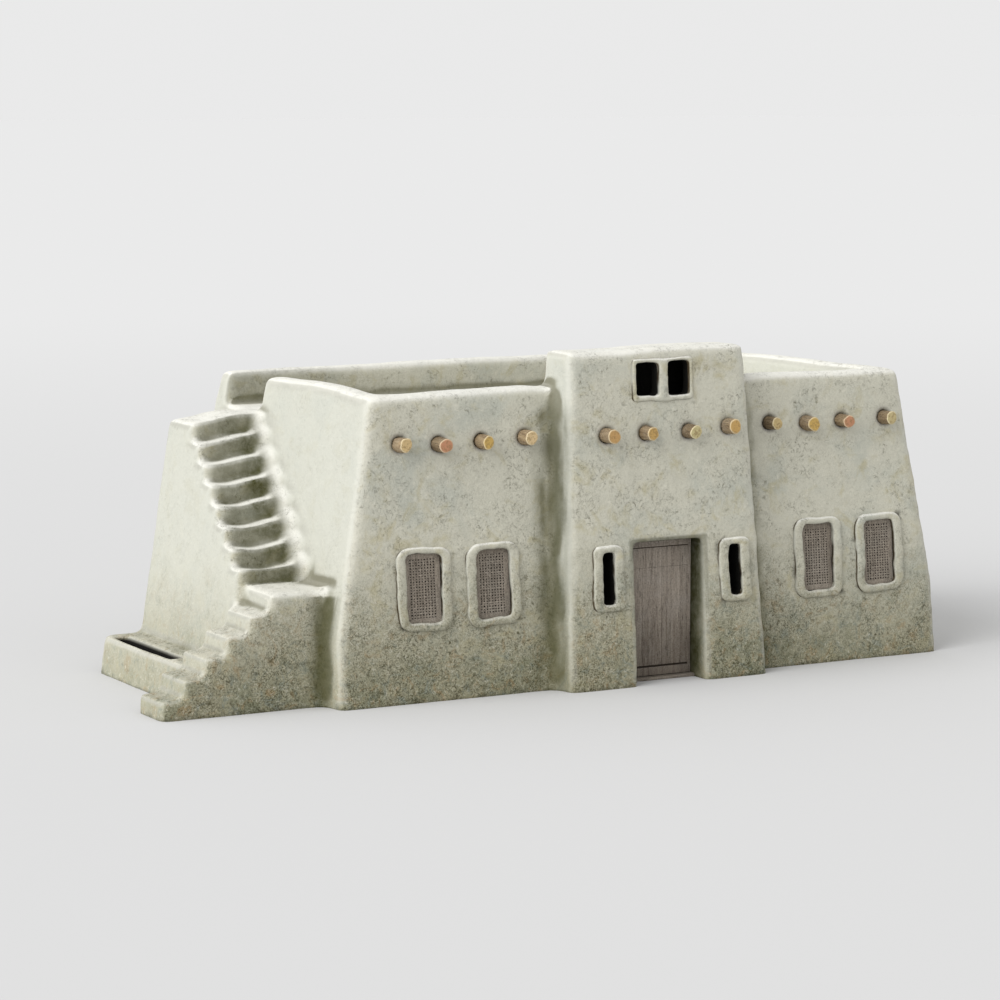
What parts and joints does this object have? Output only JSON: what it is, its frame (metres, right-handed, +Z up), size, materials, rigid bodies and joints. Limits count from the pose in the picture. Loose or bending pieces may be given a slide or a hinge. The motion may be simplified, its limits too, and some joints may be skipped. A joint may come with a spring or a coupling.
{
  "type": "adobe house",
  "caption": "One-storey adobe house with leaning mud walls, a taller porch tower, projecting roof logs, a flat roof behind parapets and an outside stair.",
  "frame": {"origin": "on the porch centre line at the foot of the wings' front wall, on the ground", "axes": "+X to the right along the front, +Y into the house, +Z up"},
  "size_m": [13.48, 6.61, 5.12],
  "materials": {
    "mud_plaster": "rough hand-smoothed mud plaster",
    "trodden_mud": "packed earth",
    "cane_mat": "split cane",
    "peeled_log": "weathered log with sawn ends",
    "woven_lattice": "weathered woven wood",
    "door_wood": "weathered grey boards",
    "black_iron": "forged"
  },
  "bodies": {
    "house": {"front_wall_left": "mud_plaster", "front_wall_right": "mud_plaster", "end_wall_left": "mud_plaster", "end_wall_right": "mud_plaster", "back_wall": "mud_plaster", "porch_pier_left": "mud_plaster", "porch_pier_right": "mud_plaster", "porch_wall_over_door": "mud_plaster", "porch_side_left": "mud_plaster", "porch_side_right": "mud_plaster", "porch_head_back": "mud_plaster", "porch_head_cap": "mud_plaster", "window_surround_1": "mud_plaster", "window_surround_2": "mud_plaster", "window_surround_3": "mud_plaster", "window_surround_4": "mud_plaster", "rear_surround_left": "mud_plaster", "rear_surround_right": "mud_plaster", "slot_surround_left": "mud_plaster", "slot_surround_right": "mud_plaster", "head_surround": "mud_plaster", "stair_lower": "mud_plaster", "stair_landing": "mud_plaster", "stair_upper": "mud_plaster", "bench": "mud_plaster", "roof_mud": "trodden_mud", "floor": "trodden_mud", "roof_mat": "cane_mat", "vigas_left": "peeled_log", "vigas_porch": "peeled_log", "vigas_right": "peeled_log", "window_lattice_1": "woven_lattice", "window_lattice_2": "woven_lattice", "window_lattice_3": "woven_lattice", "window_lattice_4": "woven_lattice", "rear_lattice_left": "woven_lattice", "rear_lattice_right": "woven_lattice", "door_sill": "door_wood", "door_pintles": "black_iron"},
    "door": {"door_leaf": "door_wood", "door_straps": "black_iron"}
  },
  "joints": [
    {"name": "door_hinge", "type": "hinge", "parent": "house", "child": "door", "pos_m": [0.64, 0.22, 0.05], "axis": [0, 0, -1], "range_deg": [0, 100]}
  ]
}
